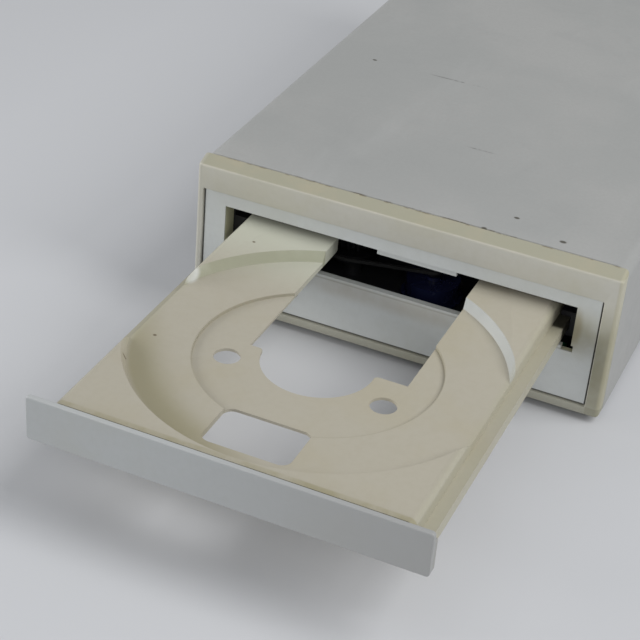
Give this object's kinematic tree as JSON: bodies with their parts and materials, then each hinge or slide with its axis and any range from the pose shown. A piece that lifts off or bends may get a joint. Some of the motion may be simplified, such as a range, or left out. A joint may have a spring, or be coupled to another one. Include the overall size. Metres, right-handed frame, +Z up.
{
  "type": "external compact disc drive",
  "caption": "Desktop external compact disc drive with a motor-driven loading tray, rising laser pickup and disc clamp, in a low grey case with a cream front bezel.",
  "frame": {"origin": "on the table under the middle of the overall length, tray out, between the sides", "axes": "+Z up, +Y towards the rear connectors, so the tray runs out along -Y; +X to the right seen from the front"},
  "size_m": [0.1576, 0.409, 0.06],
  "materials": {
    "cover_grey": "fine textured paint",
    "pan_grey": "fine textured paint",
    "bezel_cream": "yellowed moulded plastic",
    "panel_light": "satin moulded plastic",
    "tray_cream": "satin moulded plastic",
    "door_grey": "fine textured plastic",
    "rubber_black": "matte",
    "bright_steel": "bright",
    "plated_steel": "zinc plated",
    "black_plastic": "satin",
    "gear_white": "natural acetal",
    "gear_dark": "dark acetal",
    "motor_dark": "dark gloss",
    "cast_grey": "die cast",
    "lens_glass": "coated",
    "board_green": "solder resist",
    "ribbon_grey": "flat cable",
    "light_green": "clear tinted",
    "jack_white": "satin",
    "jack_red": "satin",
    "brass": "plated",
    "board_brown": "phenolic",
    "sleeve_blue": "shrink sleeve",
    "heat_aluminium": "extruded"
  },
  "bodies": {
    "case": {"top_cover": "cover_grey", "base_pan": "pan_grey", "front_bezel": "bezel_cream", "rear_panel": "pan_grey", "feet": "rubber_black", "case_screws": "bright_steel", "drive_screws": "bright_steel", "front_panel": "panel_light", "drive_shell": "plated_steel", "drive_lid": "plated_steel", "loader_frame": "black_plastic", "loading_motor": "motor_dark", "loading_belt": "rubber_black", "clamp_bridge": "plated_steel", "drive_board": "board_green", "board_chips": "black_plastic", "data_header": "black_plastic", "ribbon_cable": "ribbon_grey", "front_board": "board_green", "tact_switch": "black_plastic", "volume_pot": "black_plastic", "headphone_jack": "black_plastic", "busy_light": "light_green", "port_board": "board_green", "data_ports": "plated_steel", "audio_jack_left": "jack_white", "audio_jack_right": "jack_red", "dial_switch": "black_plastic", "power_inlet": "black_plastic", "inlet_pins": "brass", "switch_frame": "black_plastic", "power_board": "board_brown", "transformer": "cast_grey", "capacitors": "sleeve_blue", "heat_sink": "heat_aluminium"},
    "tray": {"tray": "tray_cream", "tray_door": "door_grey"},
    "tray_gear": {"tray_gear": "gear_dark"},
    "loading_pulley": {"loading_pulley": "gear_dark"},
    "motor_pulley": {"motor_pulley": "gear_dark"},
    "cam_slider": {"cam_slider": "gear_dark"},
    "lift": {"pickup_base": "black_plastic", "spindle_motor": "bright_steel", "guide_rods": "bright_steel", "sled_motor": "bright_steel"},
    "spindle": {"turntable": "black_plastic", "turntable_mat": "rubber_black", "centring_cone": "gear_white"},
    "sled": {"laser_sled": "cast_grey", "actuator_magnets": "bright_steel"},
    "lens": {"lens_holder": "black_plastic", "objective_lens": "lens_glass"},
    "screw": {"lead_screw": "bright_steel"},
    "clamp": {"clamp_puck": "black_plastic"},
    "button": {"open_button": "panel_light"},
    "volume": {"volume_wheel": "black_plastic"},
    "rocker": {"power_rocker": "black_plastic"},
    "dial": {"identity_dial": "gear_white"}
  },
  "joints": [
    {"name": "tray_slide", "type": "slide", "parent": "case", "child": "tray", "axis": [0, 1, 0], "range_m": [0, 0.1345]},
    {"name": "tray_gear_turn", "type": "hinge", "parent": "case", "child": "tray_gear", "pos_m": [-0.0436, -0.044, 0.0312], "axis": [0, 0, 1], "range_deg": [-650, 0]},
    {"name": "loading_pulley_turn", "type": "hinge", "parent": "case", "child": "loading_pulley", "pos_m": [-0.0266, -0.044, 0.027], "axis": [0, 0, 1], "range_deg": [0, 1550]},
    {"name": "motor_pulley_turn", "type": "hinge", "parent": "case", "child": "motor_pulley", "pos_m": [0.0054, -0.044, 0.025], "axis": [0, 0, 1], "range_deg": [0, 6900]},
    {"name": "pickup_lift", "type": "slide", "parent": "case", "child": "lift", "axis": [0, 0, 1], "range_m": [0, 0.005]},
    {"name": "cam_slide", "type": "slide", "parent": "case", "child": "cam_slider", "axis": [1, 0, 0], "range_m": [0, 0.014]},
    {"name": "spindle_spin", "type": "hinge", "parent": "lift", "child": "spindle", "pos_m": [-0.0013, -0.0005, 0.033], "axis": [0, 0, 1], "continuous": true},
    {"name": "clamp_spin", "type": "hinge", "parent": "case", "child": "clamp", "pos_m": [-0.0013, -0.0005, 0.043], "axis": [0, 0, 1], "continuous": true},
    {"name": "sled_slide", "type": "slide", "parent": "lift", "child": "sled", "axis": [0, 1, 0], "range_m": [0, 0.0355]},
    {"name": "lead_screw_turn", "type": "hinge", "parent": "lift", "child": "screw", "pos_m": [0.0267, 0.05, 0.0236], "axis": [0, 1, 0], "range_deg": [0, 4270]},
    {"name": "lens_focus", "type": "slide", "parent": "sled", "child": "lens", "axis": [0, 0, 1], "range_m": [-0.0004, 0.0004], "stiffness_N_per_m": 60},
    {"name": "open_press", "type": "slide", "parent": "case", "child": "button", "axis": [0, 1, 0], "range_m": [0, 0.001], "stiffness_N_per_m": 800},
    {"name": "volume_turn", "type": "hinge", "parent": "case", "child": "volume", "pos_m": [-0.0463, -0.0647, 0.016], "axis": [0, 0, 1], "range_deg": [-135, 135]},
    {"name": "rocker_tilt", "type": "hinge", "parent": "case", "child": "rocker", "pos_m": [0.051, 0.1925, 0.0465], "axis": [1, 0, 0], "range_deg": [-16, 0]},
    {"name": "identity_turn", "type": "hinge", "parent": "case", "child": "dial", "pos_m": [0.02035, 0.196, 0.0485], "axis": [0, 1, 0], "range_deg": [0, 315]}
  ],
  "couplings": [
    {"joint": "tray_gear_turn", "follows": "tray_slide", "rad_per_m": -83.333},
    {"joint": "loading_pulley_turn", "follows": "tray_slide", "rad_per_m": 200},
    {"joint": "motor_pulley_turn", "follows": "tray_slide", "rad_per_m": 881.82},
    {"joint": "cam_slide", "follows": "pickup_lift", "ratio": 2.8},
    {"joint": "clamp_spin", "follows": "spindle_spin", "ratio": 1},
    {"joint": "lead_screw_turn", "follows": "sled_slide", "rad_per_m": 2094.4}
  ]
}
